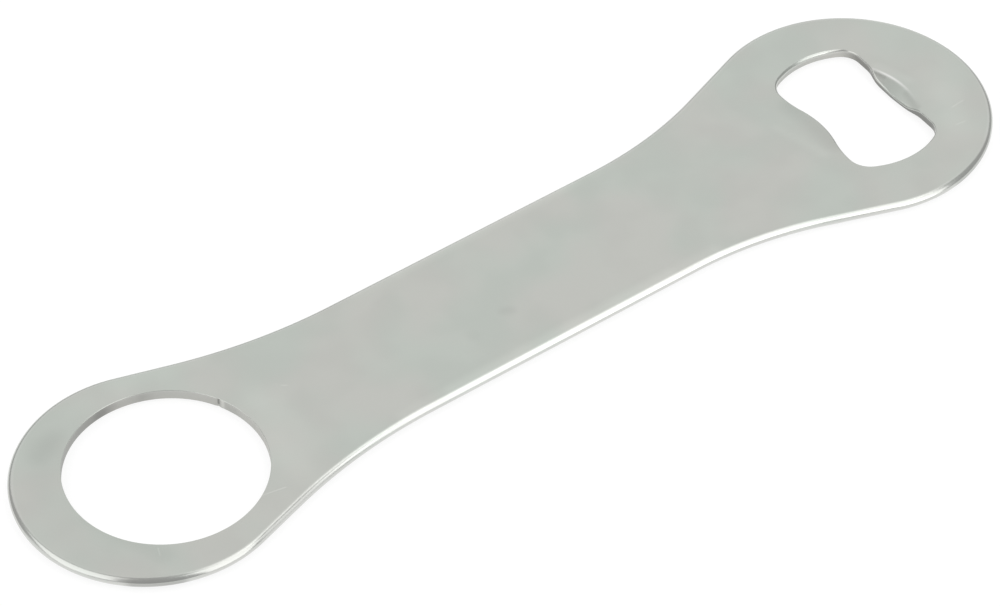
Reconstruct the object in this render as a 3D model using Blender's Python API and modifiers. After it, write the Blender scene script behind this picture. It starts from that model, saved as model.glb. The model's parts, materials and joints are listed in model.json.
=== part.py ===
"""A flat steel bottle opener: one stamped blade with a ring hole, a cap window and a pressed lip.

The blade lies flat, its length along X with the cap window at +X, and its lip is pressed downwards.
The origin is below the middle of the length, at the height of the lip's lowest point.
"""

from math import acos, atan2, ceil, cos, hypot, pi, radians, sin, sqrt

import bmesh
import bpy

# Outline of the blade, in metres
RING_RADIUS = 0.02148           # round end with the ring hole
HEAD_RADIUS = 0.02322           # round end with the cap window
END_SPACING = 0.1355            # between the centres of the two round ends
HANDLE_WIDTH = 0.02744          # straight part of the handle
RING_SHOULDER = 0.0091          # straight stretch next to the ring end
HEAD_SHOULDER = 0.01215         # straight stretch next to the head
RING_FLARE_RADIUS = 0.0905      # hollow curve from the handle to the ring's shoulder
HEAD_FLARE_RADIUS = 0.0682      # hollow curve from the handle to the head's shoulder

# Sheet and its edges
SHEET_THICKNESS = 0.00175
OUTER_EDGE_FLAT = 0.00015       # narrow wall left between the two rounds of the tumbled outline
WINDOW_EDGE_RADIUS = 0.0004
RING_HOLE_EDGE_RADIUS = 0.00015

# Ring hole, for a finger or a hook
RING_HOLE_RADIUS = 0.01575
RING_HOLE_SHIFT = 0.00268       # from the ring end's centre towards the handle

# Cap window: a round hole closed off by two flats, one on each side of its centre
WINDOW_RADIUS = 0.01395
WINDOW_SHIFT = 0.00132          # from the head's centre towards the tip
WINDOW_TURN = radians(-1.9)     # the punch sits slightly askew
FULCRUM_FLAT = 0.0082           # from the window's centre to the flat on the handle side
FULCRUM_HEIGHT = 0.0013         # crest that bears on the top of the cap
FULCRUM_CORNER_RADIUS = 0.0038
LIP_FLAT = 0.0080               # from the window's centre to the flat on the tip side
LIP_CORNER_RADIUS = 0.0034

# Lip that hooks under the cap, pressed down out of the sheet by a punch with a round fold
LIP_HALF_WIDTH = 0.0068
LIP_BULGE = 0.00065             # swelling of the lip into the window
LIP_REACH = 0.00225             # from the lip's crest to the fold behind it
LIP_DROP = 0.0011               # depth of the slope at the crest, in the upper face
LIP_UNDERSIDE_DROP = 0.0004     # how far the lip's foot stands proud below the sheet
FOLD_RADIUS = 0.0119

# Fineness of the model
ARC_TOLERANCE = 0.000012        # between an arc and its chords
EDGE_SEGMENTS = 4
FULCRUM_STEPS = 14              # from the crest out to the corner
LIP_COLUMNS = 24                # an even number, so that one column lies on the axis
LIP_ROWS = 4                    # on the slope between the lip's edge row and the fold
LIP_EDGE_ROW = 0.0007           # row of the lip that takes the rounded edge
FOLD_MARGIN = 0.0004            # flat metal kept beyond the fold
WELD_DISTANCE = 0.000001
FLAT_ANGLE = radians(0.1)
SMOOTH_ANGLE = radians(35)
WALL_RISE = 0.5                 # a face whose normal rises less than this is a wall of the sheet

STEEL_COLOUR = (0.50, 0.51, 0.49, 1.0)
STEEL_ROUGHNESS = 0.38


def ring_x():
    """Place of the ring end's centre along the blade."""
    return -(END_SPACING + HEAD_RADIUS - RING_RADIUS) / 2


def head_x():
    """Place of the head's centre along the blade."""
    return ring_x() + END_SPACING


def ring_hole_x():
    """Place of the ring hole's centre along the blade."""
    return ring_x() + RING_HOLE_SHIFT


def window_x():
    """Place of the window's centre along the blade."""
    return head_x() + WINDOW_SHIFT


def arc(centre, radius, start, end):
    """Points along an arc, close enough together to keep the tolerance."""
    step = 2 * sqrt(2 * ARC_TOLERANCE / radius)
    count = max(1, ceil(abs(end - start) / step))
    angles = [start + (end - start) * index / count for index in range(count + 1)]
    return [(centre[0] + radius * cos(angle), centre[1] + radius * sin(angle)) for angle in angles]


def joined(*runs):
    """Runs of points as one run, where each starts at the end of the one before."""
    points = list(runs[0])
    for run in runs[1:]:
        points.extend(run[1:])
    return points


def closed_by_mirror(half):
    """A loop from its half on the +Y side, whose two ends lie on the X axis."""
    return half + [(x, -y) for x, y in reversed(half[1:-1])]


def shoulder_slope(end_radius, shoulder, flare_radius):
    """Slope of the shoulder that touches both the round of an end and its flare."""
    reach = end_radius + flare_radius
    side = HANDLE_WIDTH / 2 + flare_radius
    return acos(side / hypot(reach, shoulder)) - atan2(shoulder, reach)


def end_half(end_radius, shoulder, flare_radius):
    """Half of an end from its tip at -X to the handle, from the end's centre."""
    slope = shoulder_slope(end_radius, shoulder, flare_radius)
    flare_x = (end_radius + flare_radius) * sin(slope) + shoulder * cos(slope)
    flare_y = HANDLE_WIDTH / 2 + flare_radius
    tip = arc((0, 0), end_radius, pi, pi / 2 - slope)
    hollow = arc((flare_x, flare_y), flare_radius, -pi / 2 - slope, -pi / 2)
    return joined(tip, [tip[-1], hollow[0]], hollow)


def blade_outline():
    """Two round ends, each with its shoulders and flares, and a straight handle between them."""
    ring = end_half(RING_RADIUS, RING_SHOULDER, RING_FLARE_RADIUS)
    head = end_half(HEAD_RADIUS, HEAD_SHOULDER, HEAD_FLARE_RADIUS)
    ring_half = [(ring_x() + x, y) for x, y in ring]
    head_half = [(head_x() - x, y) for x, y in reversed(head)]
    return closed_by_mirror(ring_half + head_half)


def ring_hole():
    """Circle of the ring hole, as a loop."""
    return arc((ring_hole_x(), 0), RING_HOLE_RADIUS, 0, 2 * pi)[:-1]


def swelling(height, half_width, side):
    """Height of a swelling at a distance from its crest: two equal arcs, the outer one hollow."""
    radius = (half_width ** 2 + height ** 2) / (4 * height)
    if side < half_width / 2:
        return height - radius + sqrt(radius ** 2 - side ** 2)
    return radius - sqrt(radius ** 2 - (half_width - side) ** 2)


def window_corner(flat, radius):
    """Centre of the fillet between a flat and the round of the window, on the +X and +Y side."""
    along = flat - radius
    return along, sqrt((WINDOW_RADIUS - radius) ** 2 - along ** 2)


def fold_centre():
    """Place along the window's axis of the centre of the fold's round."""
    return LIP_FLAT - LIP_BULGE + LIP_REACH - FOLD_RADIUS


def lip_columns():
    """Points of the pressed patch, in columns across the lip that run from its edge to the sheet."""
    far_side = LIP_FLAT - LIP_BULGE + LIP_REACH + FOLD_MARGIN
    columns = []
    for column in range(LIP_COLUMNS + 1):
        side = LIP_HALF_WIDTH * (1 - 2 * column / LIP_COLUMNS)
        edge = LIP_FLAT - swelling(LIP_BULGE, LIP_HALF_WIDTH, abs(side))
        first = edge + LIP_EDGE_ROW
        fold = max(first + FOLD_MARGIN, fold_centre() + sqrt(FOLD_RADIUS ** 2 - side ** 2))
        slope = [first + (fold - first) * row / LIP_ROWS for row in range(LIP_ROWS + 1)]
        columns.append([(along, side) for along in [edge, *slope, far_side]])
    return columns


def window_loop():
    """Loop of the cap window with the pressed patch left open, from the window's own centre."""
    fulcrum_corner = window_corner(FULCRUM_FLAT, FULCRUM_CORNER_RADIUS)
    lip_corner = window_corner(LIP_FLAT, LIP_CORNER_RADIUS)
    fulcrum_centre = (-fulcrum_corner[0], fulcrum_corner[1])
    fulcrum_turn = atan2(fulcrum_centre[1], fulcrum_centre[0])
    lip_turn = atan2(lip_corner[1], lip_corner[0])
    fulcrum = []
    for step in range(FULCRUM_STEPS + 1):
        side = fulcrum_corner[1] * step / FULCRUM_STEPS
        fulcrum.append((swelling(FULCRUM_HEIGHT, fulcrum_corner[1], side) - FULCRUM_FLAT, side))
    columns = lip_columns()
    far_side = [column[-1] for column in columns[:LIP_COLUMNS // 2 + 1]]
    return closed_by_mirror(joined(
        fulcrum,
        arc(fulcrum_centre, FULCRUM_CORNER_RADIUS, pi, fulcrum_turn),
        arc((0, 0), WINDOW_RADIUS, fulcrum_turn, lip_turn),
        arc(lip_corner, LIP_CORNER_RADIUS, lip_turn, 0),
        [(LIP_FLAT, lip_corner[1]), columns[0][0]],
        columns[0],
        far_side,
    ))


def on_blade(point):
    """Place on the blade of a point that is given from the window's centre."""
    along, side = point
    x = window_x() + along * cos(WINDOW_TURN) - side * sin(WINDOW_TURN)
    y = along * sin(WINDOW_TURN) + side * cos(WINDOW_TURN)
    return x, y


def from_window(x, y):
    """A place on the blade, given from the window's centre and along its own turned axes."""
    along = (x - window_x()) * cos(WINDOW_TURN) + y * sin(WINDOW_TURN)
    side = y * cos(WINDOW_TURN) - (x - window_x()) * sin(WINDOW_TURN)
    return along, side


def pressed_depth(along, side, drop, run):
    """Depth to which the punch presses a point: an even slope from the fold, level beyond its run."""
    inside = FOLD_RADIUS - hypot(along - fold_centre(), side)
    if along < 0 or inside < 0:
        return 0
    return drop * min(1, inside / run)


def flat_sheet(loops):
    """Mesh of the flat sheet between its outline and its holes, from a filled curve."""
    curve = bpy.data.curves.new("sheet_outline", "CURVE")
    curve.dimensions = "2D"
    curve.fill_mode = "BOTH"
    for loop in loops:
        spline = curve.splines.new("POLY")
        spline.points.add(len(loop) - 1)
        for point, (x, y) in zip(spline.points, loop):
            point.co = (x, y, 0, 1)
        spline.use_cyclic_u = True
    outline = bpy.data.objects.new("sheet_outline", curve)
    bpy.context.scene.collection.objects.link(outline)
    evaluated = outline.evaluated_get(bpy.context.evaluated_depsgraph_get())
    mesh = bpy.data.meshes.new_from_object(evaluated)
    bpy.data.objects.remove(outline)
    bpy.data.curves.remove(curve)
    return mesh


def add_lip_patch(sheet):
    """Adds the still flat patch of the lip to the sheet and welds it into its opening."""
    columns = lip_columns()
    rows = len(columns[0]) - 1
    patch = bmesh.ops.create_grid(sheet, x_segments=rows, y_segments=LIP_COLUMNS, size=1)
    for vertex in patch["verts"]:
        row = round((vertex.co.x + 1) / 2 * rows)
        column = round((1 - vertex.co.y) / 2 * LIP_COLUMNS)
        vertex.co = (*on_blade(columns[column][row]), 0)
    bmesh.ops.remove_doubles(sheet, verts=sheet.verts, dist=WELD_DISTANCE)


def outer_edge_radius():
    """Rounding of the outline's edges, which leaves the narrow wall between them."""
    return (SHEET_THICKNESS - OUTER_EDGE_FLAT) / 2


def edge_radius(middle):
    """Rounding of the sheet's edge at a point: ring hole, cap window or outline."""
    if hypot(middle.x - ring_hole_x(), middle.y) < RING_HOLE_RADIUS + WELD_DISTANCE:
        return RING_HOLE_EDGE_RADIUS
    if hypot(middle.x - window_x(), middle.y) < WINDOW_RADIUS + WELD_DISTANCE:
        return WINDOW_EDGE_RADIUS
    return outer_edge_radius()


def weigh_edges(sheet, largest_radius):
    """Gives each edge between a face of the sheet and its wall a rounding, as a share of the largest."""
    weight = sheet.edges.layers.float.new("bevel_weight_edge")
    for edge in sheet.edges:
        walls = sum(abs(face.normal.z) < WALL_RISE for face in edge.link_faces)
        if walls == 1:
            middle = (edge.verts[0].co + edge.verts[1].co) / 2
            edge[weight] = edge_radius(middle) / largest_radius


def press_lip(sheet):
    """Presses the lip down, its upper face deeper than its underside, so that it thins to a level foot."""
    middle = sum(vertex.co.z for vertex in sheet.verts) / len(sheet.verts)
    for vertex in sheet.verts:
        place = from_window(vertex.co.x, vertex.co.y)
        if vertex.co.z > middle:
            vertex.co.z -= pressed_depth(*place, LIP_DROP, LIP_REACH)
        else:
            vertex.co.z -= pressed_depth(*place, LIP_UNDERSIDE_DROP, LIP_REACH - LIP_EDGE_ROW)


def blade_mesh(largest_radius):
    """Sheet between its outline and its holes, thickened, with its lip pressed down."""
    window = [on_blade(point) for point in window_loop()]
    mesh = flat_sheet([blade_outline(), ring_hole(), window])
    mesh.name = "opener_blade"
    sheet = bmesh.new()
    sheet.from_mesh(mesh)
    bmesh.ops.remove_doubles(sheet, verts=sheet.verts, dist=WELD_DISTANCE)
    bmesh.ops.dissolve_limit(sheet, angle_limit=FLAT_ANGLE, verts=[], edges=sheet.edges)
    add_lip_patch(sheet)
    bmesh.ops.recalc_face_normals(sheet, faces=sheet.faces)
    bmesh.ops.solidify(sheet, geom=sheet.faces[:], thickness=SHEET_THICKNESS)
    bmesh.ops.recalc_face_normals(sheet, faces=sheet.faces)
    weigh_edges(sheet, largest_radius)
    press_lip(sheet)
    sheet.to_mesh(mesh)
    sheet.free()
    mesh.shade_smooth()
    mesh.set_sharp_from_angle(angle=SMOOTH_ANGLE)
    return mesh


def satin_steel():
    """Plain satin stainless steel."""
    material = bpy.data.materials.new("satin_steel")
    material.use_nodes = True
    shader = material.node_tree.nodes["Principled BSDF"]
    shader.inputs["Base Color"].default_value = STEEL_COLOUR
    shader.inputs["Roughness"].default_value = STEEL_ROUGHNESS
    shader.inputs["Metallic"].default_value = 1.0
    return material


def round_edges(blade, largest_radius):
    """Rounds the edges of the sheet, each by its own weight."""
    rounding = blade.modifiers.new("rounded_edges", "BEVEL")
    rounding.limit_method = "WEIGHT"
    rounding.width = largest_radius
    rounding.segments = EDGE_SEGMENTS
    rounding.use_clamp_overlap = False
    rounding.harden_normals = True


def stand_on_ground(blade):
    """Lifts the blade until its lowest point is at the height of the origin."""
    evaluated = blade.evaluated_get(bpy.context.evaluated_depsgraph_get())
    blade.location.z = -min(vertex.co.z for vertex in evaluated.data.vertices)


def main():
    for old in list(bpy.data.objects):
        bpy.data.objects.remove(old)
    parts = bpy.data.collections.new("bottle_opener")
    bpy.context.scene.collection.children.link(parts)
    largest_radius = max(outer_edge_radius(), WINDOW_EDGE_RADIUS, RING_HOLE_EDGE_RADIUS)
    blade = bpy.data.objects.new("opener_blade", blade_mesh(largest_radius))
    blade.data.materials.append(satin_steel())
    parts.objects.link(blade)
    round_edges(blade, largest_radius)
    stand_on_ground(blade)


main()
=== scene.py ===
# %% [markdown]
# # A flat steel bottle opener
# The real thing is one piece of stainless steel sheet. A press cuts the outline, the ring hole and
# the cap window out of the sheet, a second stroke pushes a small lip down at the window, and a
# tumbling drum rounds the edges. Nothing on it moves and nothing is joined to it.
#
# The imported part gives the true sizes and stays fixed. This lesson builds a finer blade over it,
# with rolled edges, a smooth lip and a satin finish, and lights it as a small studio would.

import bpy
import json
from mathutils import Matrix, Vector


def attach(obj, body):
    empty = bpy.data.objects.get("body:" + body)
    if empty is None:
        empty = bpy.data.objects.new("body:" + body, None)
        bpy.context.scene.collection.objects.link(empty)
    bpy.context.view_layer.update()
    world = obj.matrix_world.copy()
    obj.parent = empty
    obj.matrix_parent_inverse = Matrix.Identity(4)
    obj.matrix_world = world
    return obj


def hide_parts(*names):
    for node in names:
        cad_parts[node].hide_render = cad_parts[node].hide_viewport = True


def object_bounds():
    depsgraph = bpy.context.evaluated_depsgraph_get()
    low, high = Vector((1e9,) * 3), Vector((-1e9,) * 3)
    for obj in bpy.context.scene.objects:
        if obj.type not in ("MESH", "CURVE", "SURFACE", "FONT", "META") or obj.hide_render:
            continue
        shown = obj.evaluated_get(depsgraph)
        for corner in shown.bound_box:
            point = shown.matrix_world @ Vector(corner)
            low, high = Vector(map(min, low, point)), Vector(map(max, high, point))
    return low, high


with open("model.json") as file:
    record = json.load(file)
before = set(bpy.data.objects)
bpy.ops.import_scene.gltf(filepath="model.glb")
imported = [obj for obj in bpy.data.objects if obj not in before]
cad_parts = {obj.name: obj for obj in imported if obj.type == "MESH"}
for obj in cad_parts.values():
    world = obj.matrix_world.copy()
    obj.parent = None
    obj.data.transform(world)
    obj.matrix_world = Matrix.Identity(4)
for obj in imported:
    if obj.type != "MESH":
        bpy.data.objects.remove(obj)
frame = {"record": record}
solid_low, solid_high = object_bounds()
print("solid box in metres:", tuple(solid_low), tuple(solid_high))

# %% Modules
import json
from math import acos, atan2, ceil, cos, exp, hypot, pi, radians, sin, sqrt

import bmesh
import bpy
from mathutils import Quaternion, Vector

# %% [markdown]
# ## Where the sheet lies
# The part has two mounts, its underside and its top face, and both are flats of the sheet. Their
# heights give the sheet's thickness, so nothing has to be measured twice. The lip reaches a little
# lower than the underside, down to the floor at height zero.

# %% Heights of the sheet's two faces
mount_heights = {mount["name"]: mount["pos_m"][2] for mount in frame["record"]["mounts"]}
UNDERSIDE_Z = mount_heights["underside"]
TOP_Z = mount_heights["top_face"]
THICKNESS = TOP_Z - UNDERSIDE_Z
print(f"sheet {THICKNESS * 1000:.2f} mm thick, from {UNDERSIDE_Z * 1000:.2f} to {TOP_Z * 1000:.2f} mm")

# %% [markdown]
# ## The camera
# The opener is seen from its ring end, from about 45 degrees above. A long lens from 70 cm away
# keeps the two ends nearly the same size, as in a product picture. The camera is placed by the
# direction and distance from the point that it aims at, because those are easy to reason about.

# %% Camera on a long lens
AIM = Vector((-0.00508, -0.00191, TOP_Z))
CAMERA_DISTANCE = 0.69929
CAMERA_AZIMUTH = radians(-36.539)
CAMERA_ELEVATION = radians(44.901)
CAMERA_ROLL = radians(0.059)
LENS_MM = 162.13
NEAREST_SEEN = 0.05
FURTHEST_SEEN = 200


def towards(azimuth, elevation):
    """Unit direction from the object; azimuth 0 is the -Y side and grows towards +X."""
    flat = cos(elevation)
    return Vector((sin(azimuth) * flat, -cos(azimuth) * flat, sin(elevation)))


camera = bpy.data.objects.new("camera", bpy.data.cameras.new("camera"))
camera.data.lens = LENS_MM
camera.data.clip_start = NEAREST_SEEN
camera.data.clip_end = FURTHEST_SEEN
back = towards(CAMERA_AZIMUTH, CAMERA_ELEVATION)
camera.location = AIM + back * CAMERA_DISTANCE
camera.rotation_mode = "QUATERNION"
camera.rotation_quaternion = (-back).to_track_quat("-Z", "Y") @ Quaternion((0, 0, 1), CAMERA_ROLL)
bpy.context.scene.collection.objects.link(camera)
bpy.context.scene.camera = camera
print("camera at", tuple(round(value, 4) for value in camera.location))

# %% [markdown]
# ## Runs of points
# Every edge of the blade is made of arcs and straight stretches, so two small helpers are enough.
# Points are spaced by length along the curve. That gives strips of even quads when an edge profile
# is swept along them. The same could be drawn as Bezier curves, but then the sizes would be hidden
# in handles.

# %% Helpers for arcs, straight stretches and loops
POINT_SPACING = 0.0006


def arc(centre, radius, start, end, spacing=POINT_SPACING):
    """Points along an arc."""
    count = max(2, ceil(radius * abs(end - start) / spacing))
    angles = [start + (end - start) * index / count for index in range(count + 1)]
    return [(centre[0] + radius * cos(angle), centre[1] + radius * sin(angle)) for angle in angles]


def straight(start, end, spacing=POINT_SPACING):
    """Points along a straight stretch."""
    count = max(1, ceil(hypot(end[0] - start[0], end[1] - start[1]) / spacing))
    steps = [index / count for index in range(count + 1)]
    return [(start[0] + (end[0] - start[0]) * t, start[1] + (end[1] - start[1]) * t) for t in steps]


def joined(*runs):
    """Runs of points as one run, where each starts at the end of the one before."""
    points = list(runs[0])
    for run in runs[1:]:
        points.extend(run[1:])
    return points


def closed_by_mirror(half):
    """A loop from its half on the +Y side, whose two ends lie on the X axis."""
    return half + [(x, -y) for x, y in reversed(half[1:-1])]


# %% [markdown]
# ## The outline of the blade
# Each round end runs into a straight shoulder, and a hollow flare joins the shoulder to the handle.
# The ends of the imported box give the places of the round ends. The slope of a shoulder isn't chosen:
# it follows from the two radii, because the shoulder has to touch both the round and the flare.

# %% Outline of the blade
RING_END_RADIUS = 0.02148
HEAD_RADIUS = 0.02322
HANDLE_WIDTH = 0.02744
RING_SHOULDER = 0.0091
HEAD_SHOULDER = 0.01215
RING_FLARE_RADIUS = 0.0905
HEAD_FLARE_RADIUS = 0.0682
RING_X = solid_low.x + RING_END_RADIUS
HEAD_X = solid_high.x - HEAD_RADIUS


def end_half(end_radius, shoulder, flare_radius):
    """Half of an end from its tip at -X to the handle, from the end's centre."""
    reach = end_radius + flare_radius
    side = HANDLE_WIDTH / 2 + flare_radius
    slope = acos(side / hypot(reach, shoulder)) - atan2(shoulder, reach)
    flare_x = reach * sin(slope) + shoulder * cos(slope)
    tip = arc((0, 0), end_radius, pi, pi / 2 - slope)
    hollow = arc((flare_x, side), flare_radius, -pi / 2 - slope, -pi / 2)
    return joined(tip, straight(tip[-1], hollow[0]), hollow)


def blade_outline():
    """Loop of the outline, with the metal on its left."""
    ring = end_half(RING_END_RADIUS, RING_SHOULDER, RING_FLARE_RADIUS)
    head = end_half(HEAD_RADIUS, HEAD_SHOULDER, HEAD_FLARE_RADIUS)
    ring_half = [(RING_X + x, y) for x, y in ring]
    head_half = [(HEAD_X - x, y) for x, y in reversed(head)]
    handle = straight(ring_half[-1], head_half[0])
    return closed_by_mirror(joined(ring_half, handle, head_half))[::-1]


outline = blade_outline()
print("outline of", len(outline), "points")

# %% [markdown]
# ## The ring hole
# The big hole takes a finger or a hook. It sits a little towards the handle, so its rim is widest at
# the tip. The punch left one small nick in the wall, where its cut began and ended. The nick is a
# narrow dent in the circle, so the points lie closer together than on the outline.

# %% Ring hole with its nick
RING_HOLE_RADIUS = 0.01575
RING_HOLE_SHIFT = 0.00268
RING_HOLE_X = RING_X + RING_HOLE_SHIFT
RING_HOLE_SPACING = 0.0002
NICK_ANGLE = radians(26.3)
NICK_HALF_WIDTH = 0.0003
NICK_DEPTH = 0.00012


def ring_hole_loop():
    """Loop of the ring hole, with the metal on its left."""
    points = []
    for x, y in arc((0, 0), RING_HOLE_RADIUS, 2 * pi, 0, RING_HOLE_SPACING)[:-1]:
        away = RING_HOLE_RADIUS * (atan2(y, x) - NICK_ANGLE)
        swell = 1 + NICK_DEPTH / RING_HOLE_RADIUS * exp(-(away / NICK_HALF_WIDTH) ** 2)
        points.append((RING_HOLE_X + x * swell, y * swell))
    return points


ring_hole = ring_hole_loop()
print("ring hole of", len(ring_hole), "points")

# %% [markdown]
# ## The cap window
# The window is a round hole closed off by two flats. The flat on the handle side swells to a crest,
# the fulcrum, that bears on top of a bottle cap. The flat on the tip side carries the lip that hooks
# under the cap's rim. The window is worked out round its own centre and then turned on the blade,
# because the punch sat slightly askew.

# %% Sizes of the cap window, and its two swellings
WINDOW_RADIUS = 0.01395
WINDOW_SHIFT = 0.00132
WINDOW_X = HEAD_X + WINDOW_SHIFT
WINDOW_TURN = radians(-1.9)
FULCRUM_FLAT = 0.0082
FULCRUM_HEIGHT = 0.0013
FULCRUM_CORNER_RADIUS = 0.0038
LIP_FLAT = 0.0080
LIP_CORNER_RADIUS = 0.0034
LIP_LEVEL_HALF_WIDTH = 0.0036
LIP_HALF_WIDTH = 0.0074
LIP_BULGE = 0.0007
WINDOW_SPACING = 0.0003


def swelling(height, half_width, side):
    """Height of a swelling at a distance from its crest: two equal arcs, the outer one hollow."""
    radius = (half_width ** 2 + height ** 2) / (4 * height)
    if side >= half_width:
        return 0
    if side < half_width / 2:
        return height - radius + sqrt(radius ** 2 - side ** 2)
    return radius - sqrt(radius ** 2 - (half_width - side) ** 2)


def lip_share(side):
    """One along the level stretch of the lip, easing to nothing at its ends."""
    fall = (abs(side) - LIP_LEVEL_HALF_WIDTH) / (LIP_HALF_WIDTH - LIP_LEVEL_HALF_WIDTH)
    fall = min(1, max(0, fall))
    return 1 - fall ** 2 * (3 - 2 * fall)


# %% Loop of the cap window
def window_corner(flat, radius):
    """Centre of the fillet between a flat and the round of the window, on the +X and +Y side."""
    along = flat - radius
    return along, sqrt((WINDOW_RADIUS - radius) ** 2 - along ** 2)


def window_loop():
    """Loop of the cap window round its own centre, with the metal on its left."""
    fulcrum_corner = window_corner(FULCRUM_FLAT, FULCRUM_CORNER_RADIUS)
    lip_corner = window_corner(LIP_FLAT, LIP_CORNER_RADIUS)
    fulcrum_centre = (-fulcrum_corner[0], fulcrum_corner[1])
    fulcrum_turn = atan2(fulcrum_centre[1], fulcrum_centre[0])
    lip_turn = atan2(lip_corner[1], lip_corner[0])
    fulcrum = straight((0, 0), (0, fulcrum_corner[1]), WINDOW_SPACING)
    lip = straight((0, lip_corner[1]), (0, 0), WINDOW_SPACING)
    return closed_by_mirror(joined(
        [(swelling(FULCRUM_HEIGHT, fulcrum_corner[1], y) - FULCRUM_FLAT, y) for _, y in fulcrum],
        arc(fulcrum_centre, FULCRUM_CORNER_RADIUS, pi, fulcrum_turn, WINDOW_SPACING),
        arc((0, 0), WINDOW_RADIUS, fulcrum_turn, lip_turn, WINDOW_SPACING),
        arc(lip_corner, LIP_CORNER_RADIUS, lip_turn, 0, WINDOW_SPACING),
        [(LIP_FLAT - LIP_BULGE * lip_share(y), y) for _, y in lip],
    ))


# %% Place the window on the blade
def on_blade(along, side):
    """Place on the blade of a point that is given from the window's centre."""
    x = WINDOW_X + along * cos(WINDOW_TURN) - side * sin(WINDOW_TURN)
    return x, along * sin(WINDOW_TURN) + side * cos(WINDOW_TURN)


def from_window(x, y):
    """A place on the blade, given from the window's centre and along its own turned axes."""
    along = (x - WINDOW_X) * cos(WINDOW_TURN) + y * sin(WINDOW_TURN)
    return along, y * cos(WINDOW_TURN) - (x - WINDOW_X) * sin(WINDOW_TURN)


window = [on_blade(*point) for point in window_loop()]
print("cap window of", len(window), "points")

# %% [markdown]
# ## Sections of the edges
# A tumbled edge isn't a plain quarter round: the face falls away slowly and the corner turns faster.
# A quarter of an ellipse, wider than it is deep, gives that. A profile is a list of rows, from the
# flat of the top over the wall to the flat below. Each row has its inset from the loop, its depth
# below the top face, and a mark for how well it is polished, which also paints a lighter highlight
# colour. The drum polished the outline down to its lower edge, but the walls of the holes stayed as
# the punch tore them; the outline's lower wall gets the strongest painted highlight. The Bevel
# modifier could round the edges too, but a swept profile leaves each edge its own shape. The window's
# upper roll even changes on its way round, because the stroke that pressed the lip kept the sheet
# sharp there.

# %% Edge profiles
FLAT_BAND = 0.0006
BAND_ROWS = 4
ROUND_STEPS = 10
WALL_STEPS = 5
WALL_ROWS = range(BAND_ROWS + ROUND_STEPS, BAND_ROWS + 2 * ROUND_STEPS + WALL_STEPS)
POLISH_AND_SHEEN_CHANGE = 0.0003


def rolled_rows(width, depth):
    """Inset, depth and share of the turn from a flat band to the wall, round a quarter of an ellipse."""
    rows = [(width + FLAT_BAND * row / BAND_ROWS, 0, 0) for row in range(BAND_ROWS, 0, -1)]
    for step in range(ROUND_STEPS + 1):
        turn = pi / 2 * step / ROUND_STEPS
        rows.append((width * (1 - sin(turn)), depth * (1 - cos(turn)), sin(turn)))
    return rows


def edge_profile(upper, lower, roll_polish_and_sheen, wall_polish_and_sheen):
    """Rows of inset, depth and polish mark over an edge whose two rolls are given as width and depth;
    the mark also paints a highlight.
    """
    rows = [(inset, depth, roll_polish_and_sheen * turned) for inset, depth, turned in rolled_rows(*upper)]
    wall_height = THICKNESS - upper[1] - lower[1]
    below = [(0, upper[1] + wall_height * step / WALL_STEPS) for step in range(1, WALL_STEPS)]
    below += [(inset, THICKNESS - depth) for inset, depth, _ in reversed(rolled_rows(*lower))]
    for inset, depth in below:
        like_roll = max(0, 1 - (depth - upper[1]) / POLISH_AND_SHEEN_CHANGE)
        rows.append((inset, depth, wall_polish_and_sheen + (roll_polish_and_sheen - wall_polish_and_sheen) * like_roll))
    return rows


OUTLINE_ROLL = (0.00105, 0.00080)
RING_HOLE_ROLL = (0.00008, 0.00008)
# The polish marks also paint a lighter highlight colour, strongest on the outline's lower wall.
OUTLINE_EDGE = edge_profile(OUTLINE_ROLL, OUTLINE_ROLL, roll_polish_and_sheen=0.45, wall_polish_and_sheen=0.8)
RING_HOLE_EDGE = edge_profile(RING_HOLE_ROLL, RING_HOLE_ROLL, roll_polish_and_sheen=0.1, wall_polish_and_sheen=0)
print("rows in an edge profile:", len(OUTLINE_EDGE))

# %% Edge of the window, by place
WINDOW_ROLL_WIDE = 0.0005
WINDOW_ROLL_NARROW = 0.00024
NARROWING_STARTS = 0.3
NARROWING_ENDS = 0.6


def window_edge(point):
    """Profile at a point of the window, whose upper roll is narrow at the lip and wide elsewhere."""
    along, side = from_window(*point)
    towards_lip = max(0, along) / hypot(along, side)
    narrowed = (towards_lip - NARROWING_STARTS) / (NARROWING_ENDS - NARROWING_STARTS)
    narrowed = min(1, max(0, narrowed))
    roll = WINDOW_ROLL_WIDE + (WINDOW_ROLL_NARROW - WINDOW_ROLL_WIDE) * narrowed
    lower = (WINDOW_ROLL_WIDE, WINDOW_ROLL_WIDE)
    return edge_profile((roll, roll), lower, roll_polish_and_sheen=0.2, wall_polish_and_sheen=0)


window_edges = [window_edge(point) for point in window]
print("window edge of", len(window_edges), "profiles")

# %% [markdown]
# ## Sweeping an edge
# Each row of the profile is a copy of the loop, moved into the metal and down. Quads join a row to
# the next one. The rows of corners are kept, because the first and the last are where the flat faces
# begin. The polish mark, which also carries the painted highlight, is stored on every corner, and the
# finish reads it later.

# %% Sweep a profile along a loop
# The polish mark also carries painted sheen: where it is high, the finish paints a lighter highlight
# colour.
POLISH_AND_SHEEN = "polish_and_sheen"
SATIN, PUNCHED = 0, 1


def inward_normals(loop):
    """Unit directions into the metal at the points of a loop that has the metal on its left."""
    normals = []
    for index, _ in enumerate(loop):
        before = loop[index - 1]
        after = loop[(index + 1) % len(loop)]
        along = (after[0] - before[0], after[1] - before[1])
        length = hypot(*along)
        normals.append((-along[1] / length, along[0] / length))
    return normals


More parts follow.
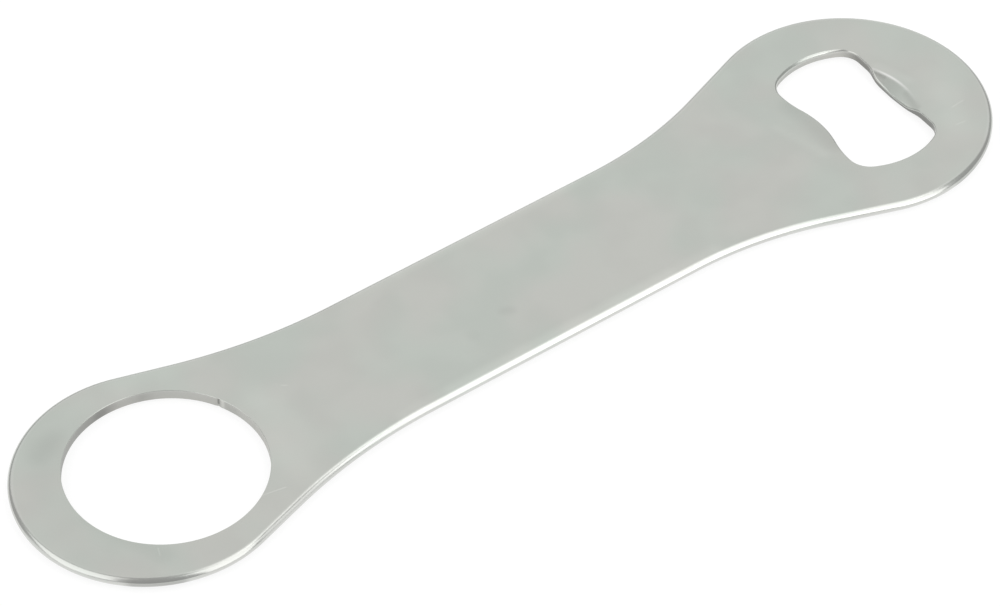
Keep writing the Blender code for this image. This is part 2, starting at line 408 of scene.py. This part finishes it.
def sweep_edge(blade, loop, profiles, wall_material):
    """Adds the strip of an edge, with a profile for each point, and returns its rows of corners."""
    polish_and_sheen = blade.verts.layers.float[POLISH_AND_SHEEN]
    normals = inward_normals(loop)
    rows = []
    for profile_row in zip(*profiles):
        row = []
        for (x, y), (nx, ny), (inset, depth, mark) in zip(loop, normals, profile_row):
            corner = blade.verts.new((x + inset * nx, y + inset * ny, TOP_Z - depth))
            corner[polish_and_sheen] = mark
            row.append(corner)
        rows.append(row)
    for step, (upper, lower) in enumerate(zip(rows, rows[1:])):
        for index, _ in enumerate(loop):
            after = (index + 1) % len(loop)
            face = blade.faces.new((upper[index], lower[index], lower[after], upper[after]))
            face.material_index = wall_material if step in WALL_ROWS else SATIN
    return rows


# %% [markdown]
# ## The patch that becomes the lip
# The lip is drawn down by a round punch, so the sheet round it needs many small faces that can
# bend. A grid of quads runs from the window's edge to a circle round the window's centre. It is
# still flat here, once on the top face and once on the underside. Its columns bow a little, because
# a fill of the flats beside it can stumble over corners that lie in one straight line.

# %% Grid of the lip patch
PATCH_ROWS = 44
PATCH_HALF_WIDTH = 0.0075
PATCH_RADIUS = 0.0124
PATCH_BOW = 0.0002


def in_patch(corner):
    """Whether a corner of the window's edge is on the stretch where the patch starts."""
    along, side = from_window(corner.co.x, corner.co.y)
    return along >= 0 and abs(side) <= PATCH_HALF_WIDTH


def patch_column(blade, corner):
    """Corners from the window's edge out to the patch circle, bowed most halfway."""
    along, side = from_window(corner.co.x, corner.co.y)
    reach = PATCH_RADIUS / hypot(along, side)
    column = [corner]
    for step in range(1, PATCH_ROWS + 1):
        part = step / PATCH_ROWS
        share = 1 + (reach - 1) * part
        x, y = on_blade(along * share, side * share + PATCH_BOW * 4 * part * (1 - part))
        column.append(blade.verts.new((x, y, corner.co.z)))
    return column


def add_lip_patch(blade, row, facing):
    """Adds a grid between the window's edge row and the patch circle."""
    columns = [patch_column(blade, corner) for corner in row if in_patch(corner)]
    columns.sort(key=lambda column: from_window(column[0].co.x, column[0].co.y)[1])
    for left, right in zip(columns, columns[1:]):
        for step in range(PATCH_ROWS):
            corners = [left[step], left[step + 1], right[step + 1], right[step]]
            blade.faces.new(corners[::facing])


# %% [markdown]
# ## Pressing the lip
# A punch bends the lip down along a round fold. Outside the fold the face falls away slowly, in a
# soft halo, and inside it the metal slopes evenly to the lip's edge. The upper face goes deeper than
# the underside, so the lip also thins, and its foot is level. That is how it fits under a cap's rim.
# The bend also turns the wall of the window, so its foot moves back under the lip, more on one side
# than on the other. The punch rubs hardest along the fold and leaves a polish mark there, which also
# paints the fold's highlight into the colour.

# %% Press the lip down
FOLD_RADIUS = 0.0130
FOLD_TOP = 0.0096
FOLD_SIDE = -0.0005
LIP_REACH = 0.0023
LIP_DROP = 0.0011
LIP_UNDERSIDE_DROP = UNDERSIDE_Z  # the foot reaches the floor
LIP_FOOT = 0.0007
HALO_WIDTH = 0.0015
FOLD_WIDTH = 0.00035
# The burnish along the fold is also a painted highlight: it raises the mark that lightens the colour.
BURNISH_SHEEN_WIDTH = 0.0002
BURNISH_SHEEN_SIDE = 0.0025
BURNISH_SHEEN_HALF_LENGTH = 0.0038


def past_fold(inside):
    """Run down the slope, eased from nothing in the halo to the true distance inside the fold."""
    if inside <= -HALO_WIDTH:
        return 0
    if inside >= FOLD_WIDTH:
        return inside
    span = HALO_WIDTH + FOLD_WIDTH
    return FOLD_WIDTH * ((inside + HALO_WIDTH) / span) ** (span / FOLD_WIDTH)


def press_lip(blade):
    """Moves the corners near the lip down, those of the upper face furthest, and marks the fold as
    burnished, which also paints a highlight there.
    """
    polish_and_sheen = blade.verts.layers.float[POLISH_AND_SHEEN]
    for corner in blade.verts:
        along, side = from_window(corner.co.x, corner.co.y)
        inside = FOLD_RADIUS - hypot(along - FOLD_TOP + FOLD_RADIUS, side - FOLD_SIDE)
        if along < 0 or inside <= -HALO_WIDTH:
            continue
        run = past_fold(inside)
        upper = LIP_DROP * run / LIP_REACH
        under = LIP_UNDERSIDE_DROP * min(1, run / (LIP_REACH - LIP_FOOT))
        height = (corner.co.z - UNDERSIDE_Z) / THICKNESS
        corner.co.z -= under + (upper - under) * height
        across = inside / BURNISH_SHEEN_WIDTH
        beside = (side - BURNISH_SHEEN_SIDE) / BURNISH_SHEEN_HALF_LENGTH
        corner[polish_and_sheen] = max(corner[polish_and_sheen], exp(-across ** 2 - beside ** 2))


# %% Lean the lip's wall back
LEAN = 0.0002
LEAN_GROWTH = 0.08
LEAN_REACH = 0.0025


def lean_wall(blade):
    """Moves the foot of the lip's wall back under the lip, and the metal behind it ever less."""
    for corner in blade.verts:
        along, side = from_window(corner.co.x, corner.co.y)
        behind = along - LIP_FLAT + LIP_BULGE * lip_share(side)
        if along < 0 or abs(side) > LIP_HALF_WIDTH or behind > LEAN_REACH:
            continue
        depth = (TOP_Z - corner.co.z) / THICKNESS
        lean = (LEAN + LEAN_GROWTH * max(0, -side)) * lip_share(side)
        corner.co.x, corner.co.y = on_blade(along + lean * depth * (1 - behind / LEAN_REACH) ** 2, side)


# %% [markdown]
# ## The flat faces
# What is left are two flats, each with a border round the outline and round both holes. Blender
# fills such a set of loops with triangles. They all lie in one plane, so their layout doesn't show.

# %% Fill the flats and close the blade
SAME_HEIGHT = 1e-7


def fill_flat(blade, height, facing):
    """Fills the open border at a height with faces that look up or down."""
    border = [
        edge for edge in blade.edges
        if edge.is_boundary and all(abs(corner.co.z - height) < SAME_HEIGHT for corner in edge.verts)
    ]
    made = bmesh.ops.triangle_fill(blade, use_beauty=True, edges=border, normal=(0, 0, facing))
    return [item for item in made["geom"] if isinstance(item, bmesh.types.BMFace)]


def blade_mesh():
    """Closed mesh of the whole blade."""
    blade = bmesh.new()
    blade.verts.layers.float.new(POLISH_AND_SHEEN)
    sweep_edge(blade, outline, [OUTLINE_EDGE] * len(outline), SATIN)
    sweep_edge(blade, ring_hole, [RING_HOLE_EDGE] * len(ring_hole), PUNCHED)
    window_rows = sweep_edge(blade, window, window_edges, PUNCHED)
    add_lip_patch(blade, window_rows[0], 1)
    add_lip_patch(blade, window_rows[-1], -1)
    filled = fill_flat(blade, TOP_Z, 1) + fill_flat(blade, UNDERSIDE_Z, -1)
    lean_wall(blade)
    press_lip(blade)
    bmesh.ops.recalc_face_normals(blade, faces=blade.faces)
    open_edges = sum(not edge.is_manifold for edge in blade.edges)
    print("blade of", len(blade.faces), "faces,", len(filled), "in the flats,", open_edges, "open edges")
    mesh = bpy.data.meshes.new("steel_blade")
    blade.to_mesh(mesh)
    blade.free()
    mesh.shade_smooth()
    return mesh


# %% Put the blade in the frame
steel_blade = bpy.data.objects.new("steel_blade", blade_mesh())
bpy.context.scene.collection.objects.link(steel_blade)
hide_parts("opener_blade")
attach(steel_blade, "root")
print("placed", steel_blade.name, "on the body root")

# %% [markdown]
# ## Small helpers for shader nodes
# A material is a graph of nodes. Writing each node and link out in full hides the idea, so one
# helper adds a node with its settings, two more add a node that calculates with two sockets, and a
# fourth starts a node group with named sockets.

# %% Node helpers
def add_node(tree, kind, inputs=(), **settings):
    """A new node with its settings; inputs are pairs of a socket's name and its value."""
    node = tree.nodes.new(kind)
    for name, value in settings.items():
        setattr(node, name, value)
    for name, value in inputs:
        node.inputs[name].default_value = value
    return node


def vector_math(tree, operation, first, second):
    """What a vector node makes of two sockets."""
    node = add_node(tree, "ShaderNodeVectorMath", operation=operation)
    tree.links.new(first, node.inputs[0])
    tree.links.new(second, node.inputs["Scale" if operation == "SCALE" else 1])
    return node.outputs["Value" if operation in ("DOT_PRODUCT", "DISTANCE") else "Vector"]


def value_math(tree, operation, first, second, **settings):
    """What a maths node makes of two sockets."""
    node = add_node(tree, "ShaderNodeMath", operation=operation, **settings)
    tree.links.new(first, node.inputs[0])
    tree.links.new(second, node.inputs[1])
    return node.outputs["Value"]


def new_group(name, inputs, outputs):
    """An empty shader node group with named sockets, and its two end nodes."""
    group = bpy.data.node_groups.new(name, "ShaderNodeTree")
    for socket, kind, value in inputs:
        made = group.interface.new_socket(socket, in_out="INPUT", socket_type=kind)
        made.default_value = value
    for socket, kind in outputs:
        group.interface.new_socket(socket, in_out="OUTPUT", socket_type=kind)
    return group, group.nodes.new("NodeGroupInput"), group.nodes.new("NodeGroupOutput")


FLOAT, COLOUR, VECTOR = "NodeSocketFloat", "NodeSocketColor", "NodeSocketVector"


# %% [markdown]
# ## Lines in the steel
# Sheet comes off the rolls with very fine lines along its length, and a punch leaves lines across the
# walls of its cuts. Both are a noise texture whose space is squeezed along one axis, which draws the
# spots of the noise out into lines. The materials use the value for bump and for roughness.

# %% Group: drawn lines
def drawn_lines():
    """Fine lines along the axis that is squeezed."""
    group, given, result = new_group(
        "drawn lines",
        [("Squeeze", VECTOR, (1, 1, 1)), ("Lines per metre", FLOAT, 9000)],
        [("Lines", FLOAT)],
    )
    place = add_node(group, "ShaderNodeTexCoord")
    squeezed = vector_math(group, "MULTIPLY", place.outputs["Object"], given.outputs["Squeeze"])
    noise = add_node(group, "ShaderNodeTexNoise", [("Detail", 3.0), ("Roughness", 0.6)])
    group.links.new(squeezed, noise.inputs["Vector"])
    group.links.new(given.outputs["Lines per metre"], noise.inputs["Scale"])
    group.links.new(noise.outputs["Fac"], result.inputs["Lines"])
    return group


# %% [markdown]
# ## Cloudy tone
# Pickled and rolled steel is never one grey. Broad soft patches lean a little towards green and a
# little towards warm grey, and others are a touch lighter or darker. One noise mixes two close
# colours, and a second one, in smaller patches, shades the mix.

# %% Group: cloudy tone
SHADE_SPREAD = 0.017


def noise_between(group, scale, low, high):
    """A soft noise at a scale given by a socket, spread from low to high."""
    place = add_node(group, "ShaderNodeTexCoord")
    noise = add_node(group, "ShaderNodeTexNoise", [("Detail", 1.5), ("Roughness", 0.5)])
    spread = add_node(
        group, "ShaderNodeMapRange",
        [("From Min", 0.35), ("From Max", 0.65), ("To Min", low), ("To Max", high)],
        interpolation_type="SMOOTHSTEP",
    )
    group.links.new(place.outputs["Object"], noise.inputs["Vector"])
    group.links.new(scale, noise.inputs["Scale"])
    group.links.new(noise.outputs["Fac"], spread.inputs["Value"])
    return spread.outputs["Result"]


def cloudy_tone():
    """Soft patches of two close greys, shaded a little lighter and darker."""
    group, given, result = new_group(
        "cloudy tone",
        [("Cool", COLOUR, (0.5, 0.5, 0.5, 1)), ("Warm", COLOUR, (0.5, 0.5, 0.5, 1)),
         ("Patches per metre", FLOAT, 70), ("Shades per metre", FLOAT, 130)],
        [("Tone", COLOUR)],
    )
    patches = noise_between(group, given.outputs["Patches per metre"], 0, 1)
    shades = noise_between(group, given.outputs["Shades per metre"], 1 - SHADE_SPREAD, 1 + SHADE_SPREAD)
    mixed = add_node(group, "ShaderNodeMix", data_type="RGBA")
    group.links.new(patches, mixed.inputs["Factor"])
    group.links.new(given.outputs["Cool"], mixed.inputs["A"])
    group.links.new(given.outputs["Warm"], mixed.inputs["B"])
    shaded = vector_math(group, "SCALE", mixed.outputs["Result"], shades)
    group.links.new(shaded, result.inputs["Tone"])
    return group


# %% [markdown]
# ## Marks along lines
# An opener that has been handled has hairline scratches, which catch the light and are painted as
# lighter lines, and dull smudges. The same marks also paint light and shade onto the steel. All are
# the same effect: a mark along a short line, narrow for a scratch and wide for a smudge. The group
# measures the distance to the line from its start to its end and fades over the mark's width. Its
# value can be added up over many marks, lighter ones above zero and darker ones below.

# %% Group: mark along a line
def gap_to_line(group, start, end):
    """Distance from the point that is shaded to the line between two places."""
    place = add_node(group, "ShaderNodeTexCoord")
    away = vector_math(group, "SUBTRACT", place.outputs["Object"], start)
    line = vector_math(group, "SUBTRACT", end, start)
    along = vector_math(group, "DOT_PRODUCT", away, line)
    whole = vector_math(group, "DOT_PRODUCT", line, line)
    share = value_math(group, "DIVIDE", along, whole, use_clamp=True)
    nearest = vector_math(group, "SCALE", line, share)
    return vector_math(group, "DISTANCE", away, nearest)


def line_mark():
    """A value that is strongest on a line between two places and fades to nothing beside it."""
    group, given, result = new_group(
        "line mark",
        [("Start", VECTOR, (0, 0, 0)), ("End", VECTOR, (0, 0, 0)), ("Width", FLOAT, 0.001),
         ("Strength", FLOAT, 0.1), ("Before", FLOAT, 0)],
        [("Sum", FLOAT)],
    )
    gap = gap_to_line(group, given.outputs["Start"], given.outputs["End"])
    fade = add_node(
        group, "ShaderNodeMapRange", [("From Min", 0), ("To Max", 0)], interpolation_type="SMOOTHSTEP"
    )
    group.links.new(gap, fade.inputs["Value"])
    group.links.new(given.outputs["Width"], fade.inputs["From Max"])
    group.links.new(given.outputs["Strength"], fade.inputs["To Min"])
    total = value_math(group, "ADD", fade.outputs["Result"], given.outputs["Before"])
    group.links.new(total, result.inputs["Sum"])
    return group


# %% [markdown]
# ## Satin steel and torn steel
# The faces are metal with a soft sheen. Where the drum polished the edges, the mark on the mesh
# makes the steel smoother, and it also paints a highlight there: the colour turns much lighter. The
# torn walls of the holes are a second finish, much rougher, with lines across the sheet instead of
# along it. Both share the same groups and come from one function, which is given what differs.

# %% A steel finish
# A much lighter grey than the satin faces; where the mark is full, it is a painted highlight.
POLISH_SHEEN_COLOUR = (0.745, 0.745, 0.73, 1)
POLISHED_ROUGHNESS = 0.07
ROUGHNESS_SPREAD = 0.04


def place_group(tree, name, **values):
    """A node that holds one of the groups, with values for its sockets."""
    node = add_node(tree, "ShaderNodeGroup", node_tree=groups[name])
    for socket, value in values.items():
        node.inputs[socket.replace("_", " ")].default_value = value
    return node


def mix_by_polish_and_sheen(tree, name, kind, plain, polished):
    """Turns a socket of the plain finish to a polished value where the mesh has its mark; in the colour
    this is a painted highlight.
    """
    mark = add_node(tree, "ShaderNodeAttribute", attribute_name=POLISH_AND_SHEEN)
    mix = add_node(tree, "ShaderNodeMix", name=name, data_type=kind)
    mix.inputs["B"].default_value = polished
    tree.links.new(plain, mix.inputs["A"])
    tree.links.new(mark.outputs["Fac"], mix.inputs["Factor"])
    return mix.outputs["Result"]


def steel_material(name, cool, warm, roughness, squeeze, lines_per_metre, line_height):
    """A steel finish with fine lines, which the mark of the mesh turns to smoother steel with a painted
    highlight colour.
    """
    material = bpy.data.materials.new(name)
    material.use_nodes = True
    tree = material.node_tree
    shader = tree.nodes["Principled BSDF"]
    shader.inputs["Metallic"].default_value = 1.0
    tone = place_group(tree, "tone", Cool=cool, Warm=warm)
    lines = place_group(tree, "lines", Squeeze=squeeze, Lines_per_metre=lines_per_metre)
    spread = [("To Min", roughness - ROUGHNESS_SPREAD), ("To Max", roughness + ROUGHNESS_SPREAD)]
    rough = add_node(tree, "ShaderNodeMapRange", spread)
    bump = add_node(tree, "ShaderNodeBump", [("Strength", 1.0), ("Distance", line_height)])
    tree.links.new(lines.outputs["Lines"], rough.inputs["Value"])
    tree.links.new(lines.outputs["Lines"], bump.inputs["Height"])
    colour = mix_by_polish_and_sheen(tree, "colour", "RGBA", tone.outputs["Tone"], POLISH_SHEEN_COLOUR)
    smooth = mix_by_polish_and_sheen(tree, "roughness", "FLOAT", rough.outputs["Result"], POLISHED_ROUGHNESS)
    tree.links.new(colour, shader.inputs["Base Color"])
    tree.links.new(smooth, shader.inputs["Roughness"])
    tree.links.new(bump.outputs["Normal"], shader.inputs["Normal"])
    return material


# %% The two finishes
groups = {"tone": cloudy_tone(), "lines": drawn_lines(), "mark": line_mark()}
satin = steel_material(
    "satin_steel_finish", cool=(0.484, 0.515, 0.478, 1), warm=(0.503, 0.510, 0.480, 1),
    roughness=0.25, squeeze=(0.012, 1, 1), lines_per_metre=9000, line_height=0.000001,
)
punched = steel_material(
    "punched_steel_finish", cool=(0.510, 0.520, 0.495, 1), warm=(0.530, 0.528, 0.500, 1),
    roughness=0.5, squeeze=(1, 1, 0.1), lines_per_metre=5000, line_height=0.000004,
)
steel_blade.data.materials.append(satin)
steel_blade.data.materials.append(punched)
print("finishes:", [material.name for material in steel_blade.data.materials])

# %% [markdown]
# ## Scratches, smudges, and painted light and shade on the blade
# Each mark is a line between two points, in millimetres from the middle of the top face, with its
# width and its strength. The marks are chained, each adding to the sum of those before it, and the
# sum lightens or darkens the colour of a finish. Scratches and smudges are marks on the steel, and
# the scratches' glint is painted as lighter lines. The rest is painted light and shade: a painted
# highlight along the lip's edge and by its fold, painted shade on the slope behind the edge, painted
# shade across the fulcrum's crest with a painted highlight beside it, painted highlights along the
# long margins of the handle, and painted shade on two stretches of the outline's lower edge and on
# the walls of the holes, the lip's wall darkest. The nick in the ring hole has a dark line and a
# lighter spot beside it.

# %% Marks of use, and painted light and shade
MM = 0.001
# Hairline scratches, whose glint is painted as a lighter colour.
SCRATCHES = [
    ((-57.6, -13.5, 0), (-53.9, -14.2, 0), 0.16, 0.12),
    ((-76.0, -13.1, 0), (-76.5, -14.4, 0), 0.20, 0.07),
    ((80.7, -9.3, 0), (83.3, -9.1, 0), 0.18, 0.08),
    ((78.7, -12.9, 0), (80.3, -13.1, 0), 0.18, 0.07),
    ((-42.4, 3.6, 0), (-41.8, 3.1, 0), 0.20, 0.08),
]
# Painted highlights along the lip's edge and beside its fold, and painted shade on the slope behind the
# edge.
LIP_HIGHLIGHTS_AND_SHADE = [
    ((75.85, 4.4, -0.55), (75.65, 0.5, -1.1), 0.3, 0.08),
    ((75.62, -0.5, -1.1), (75.65, -5.4, -0.55), 0.3, 0.12),
    ((76.3, 5.0, -0.1), (76.7, 3.0, -0.3), 0.6, -0.14),
    ((77.2, -2.2, -0.6), (76.3, -5.8, -0.4), 1.1, -0.13),
    ((77.4, 5.5, 0), (79.2, 0.0, 0), 1.6, 0.05),
]
SMUDGES = [
    ((-76.3, 14.9, 0), (-80.2, 13.2, 0), 3.4, -0.065),
    ((-79.0, 12.5, 0), (-84.0, 6.0, 0), 5.5, -0.05),
    ((-86.0, -2.0, 0), (-74.0, -17.0, 0), 6.0, -0.03),
    ((-62.0, 18.5, 0), (-50.0, 16.5, 0), 4.0, 0.05),
    ((-46.5, 2.0, 0), (-50.0, -11.0, 0), 6.0, 0.05),
    ((-80.5, -3.0, 0), (-76.0, -14.5, 0), 3.0, -0.05),
    ((83.0, -2.0, 0), (79.0, -12.0, 0), 6.0, 0.05),
    ((-4.8, -4.1, 0), (-5.6, -3.7, 0), 1.6, -0.05),
    ((-12.4, -5.3, 0), (-13.0, -5.0, 0), 1.6, -0.02),
]
# Painted shade across the fulcrum's crest and a painted highlight beside it.
FULCRUM_SHADE_AND_HIGHLIGHT = [
    ((60.0, 6.5, 0), (60.0, -4.5, 0), 3.2, -0.09),
    ((54.9, 3.5, 0), (57.0, -5.5, 0), 1.8, 0.035),
]
# Painted highlights along the long margins of the handle, beside its edges.
MARGIN_HIGHLIGHTS = [
    ((-22.0, 13.4, 0), (27.0, 13.4, 0), 2.2, 0.05),
    ((-14.0, 13.4, 0), (20.0, 13.4, 0), 2.2, 0.05),
    ((-31.0, -12.8, 0), (29.0, -12.8, 0), 2.2, 0.05),
    ((-22.0, -12.7, 0), (20.0, -12.7, 0), 2.2, 0.05),
]
# Painted shade on two stretches of the outline's lower edge, on the near side of the ring and of the
# head.
OUTLINE_PAINTED_SHADE = [
    ((-82.6, -16.5, -1.4), (-76.7, -20.2, -1.4), 2.0, -0.32),
    ((70.9, -23.2, -1.4), (81.0, -18.6, -1.4), 1.8, -0.25),
]
# Painted shade on the walls of the holes, darkest on the lip's wall, and on the far wall of the ring
# hole.
HOLE_WALL_PAINTED_SHADE = [
    ((76.0, 9.0, -1), (75.4, -9.5, -1), 4.0, -0.50),
    ((-50.5, 5.0, -1), (-59.5, 14.6, -1), 3.5, -0.08),
    ((-61.0, 14.9, -1), (-67.0, 15.7, -1), 3.0, -0.14),
    ((-68.0, 15.7, -1), (-80.0, 7.5, -1), 4.5, -0.34),
]
NICK = [
    ((-51.82, 6.98, -0.2), (-51.82, 6.98, -1.1), 0.32, -0.60),
    ((-51.48, 6.25, -0.2), (-51.48, 6.25, -1.4), 0.60, 0.25),
]


# %% Chain the marks on the two finishes
def on_top_face(point):
    """A point in millimetres, counted from the top face, in the units of the blade."""
    return Vector(point) * MM + Vector((0, 0, TOP_Z))


def add_marks(material, marks):
    """Lightens and darkens a finish along lines."""
    tree = material.node_tree
    before = None
    for start, end, width, strength in marks:
        mark = place_group(
            tree, "mark", Start=on_top_face(start), End=on_top_face(end),
            Width=width * MM, Strength=strength, Before=1,
        )
        if before:
            tree.links.new(before, mark.inputs["Before"])
        before = mark.outputs["Sum"]
    marked = vector_math(tree, "SCALE", tree.nodes["colour"].outputs["Result"], before)
    tree.links.new(marked, tree.nodes["Principled BSDF"].inputs["Base Color"])


face_marks = SCRATCHES + LIP_HIGHLIGHTS_AND_SHADE + SMUDGES + FULCRUM_SHADE_AND_HIGHLIGHT + MARGIN_HIGHLIGHTS + OUTLINE_PAINTED_SHADE
hole_marks = HOLE_WALL_PAINTED_SHADE + NICK
add_marks(satin, face_marks)
add_marks(punched, hole_marks)
print("marks on the satin faces:", len(face_marks), "in the holes:", len(hole_marks))

# %% [markdown]
# ## The floor
# The opener lies on pale paper. Its matt surface scatters a part of the light, so the object keeps
# its shadow. The rest of its white is a glow that only the camera and reflections see. That lifts the
# background to plain white without throwing more light on the steel.

# %% White paper
FLOOR_HALF_SIZE = 15
FLOOR_COLOUR = (0.22, 0.22, 0.22, 1)
FLOOR_GLOW = 0.81


def glow_strength(tree):
    """The glow for camera, glossy and transmission rays, and nothing for all others."""
    rays = add_node(tree, "ShaderNodeLightPath")
    direct = value_math(tree, "MAXIMUM", rays.outputs["Is Camera Ray"], rays.outputs["Is Glossy Ray"])
    seen = value_math(tree, "MAXIMUM", direct, rays.outputs["Is Transmission Ray"])
    strength = add_node(tree, "ShaderNodeMath", operation="MULTIPLY")
    strength.inputs[1].default_value = FLOOR_GLOW
    tree.links.new(seen, strength.inputs[0])
    return strength.outputs["Value"]


def floor_material():
    """Matt paper with a glow that throws no light on the object."""
    material = bpy.data.materials.new("white_paper")
    material.use_nodes = True
    tree = material.node_tree
    tree.nodes.remove(tree.nodes["Principled BSDF"])
    matt = add_node(tree, "ShaderNodeBsdfDiffuse", [("Color", FLOOR_COLOUR)])
    glow = add_node(tree, "ShaderNodeEmission", [("Color", (1, 1, 1, 1))])
    both = add_node(tree, "ShaderNodeAddShader")
    tree.links.new(glow_strength(tree), glow.inputs["Strength"])
    tree.links.new(matt.outputs[0], both.inputs[0])
    tree.links.new(glow.outputs[0], both.inputs[1])
    tree.links.new(both.outputs[0], tree.nodes["Material Output"].inputs["Surface"])
    return material


# %% Lay the floor
def add_floor():
    """A wide floor at the height of the lip's lowest point."""
    sheet = bmesh.new()
    bmesh.ops.create_grid(sheet, x_segments=1, y_segments=1, size=FLOOR_HALF_SIZE)
    mesh = bpy.data.meshes.new("floor")
    sheet.to_mesh(mesh)
    sheet.free()
    mesh.materials.append(floor_material())
    floor = bpy.data.objects.new("floor", mesh)
    floor.location.z = solid_low.z
    bpy.context.scene.collection.objects.link(floor)


add_floor()
print("floor at height", solid_low.z)

# %% [markdown]
# ## Studio light
# Polished steel shows its surroundings, so the light is mostly a matter of what stands round the
# table. A grey room gives the dark parts of the edges, and soft boxes give the bright ones: a tall
# one at the front right, a small one high at the right, a tall one at the left and a low card beside
# it. A tiny card close to the blade brightens one flare of its edge. A large pale screen at the back
# is what the flat face mirrors towards the camera.

# %% Room and soft boxes
ROOM_LEVEL = 0.545
LAMP_DISTANCE = 1.2


def soft_box(name, azimuth, elevation, width, height, level, lean=0, distance=LAMP_DISTANCE):
    """A lamp that faces the blade, its top leaning to larger azimuths; a mirror would show its level."""
    lamp = bpy.data.lights.new(name, "AREA")
    lamp.shape = "RECTANGLE"
    lamp.size = width
    lamp.size_y = height
    lamp.energy = level * pi * width * height
    box = bpy.data.objects.new(name, lamp)
    direction = towards(radians(azimuth), radians(elevation))
    box.location = direction * distance
    box.rotation_mode = "QUATERNION"
    box.rotation_quaternion = direction.to_track_quat("Z", "Y") @ Quaternion((0, 0, 1), -radians(lean))
    box.visible_camera = False
    bpy.context.scene.collection.objects.link(box)


def set_room(level):
    """A plain grey room."""
    world = bpy.data.worlds.new("room")
    world.use_nodes = True
    background = world.node_tree.nodes["Background"]
    background.inputs["Color"].default_value = (level, level, level, 1)
    background.inputs["Strength"].default_value = 1.0
    bpy.context.scene.world = world


# %% Set up the studio
set_room(ROOM_LEVEL)
soft_box("front_right_box", azimuth=23, elevation=39, width=0.81, height=1.80, level=1.14, lean=14)
soft_box("top_right_box", azimuth=90, elevation=70, width=0.44, height=0.55, level=1.15, lean=9)
soft_box("left_box", azimuth=-97, elevation=39, width=1.0, height=1.7, level=0.95, lean=-33)
soft_box("back_screen", azimuth=147, elevation=41, width=1.75, height=1.39, level=0.49, lean=-30)
soft_box("low_left_card", azimuth=-116, elevation=8, width=0.5, height=0.3, level=0.45)
soft_box("near_card", azimuth=35, elevation=29, width=0.055, height=0.12, level=0.6, distance=0.1315)

# %% [markdown]
# ## Colour
# The Standard view shows a colour about as it is written.

# %% View
bpy.context.scene.view_settings.view_transform = "Standard"
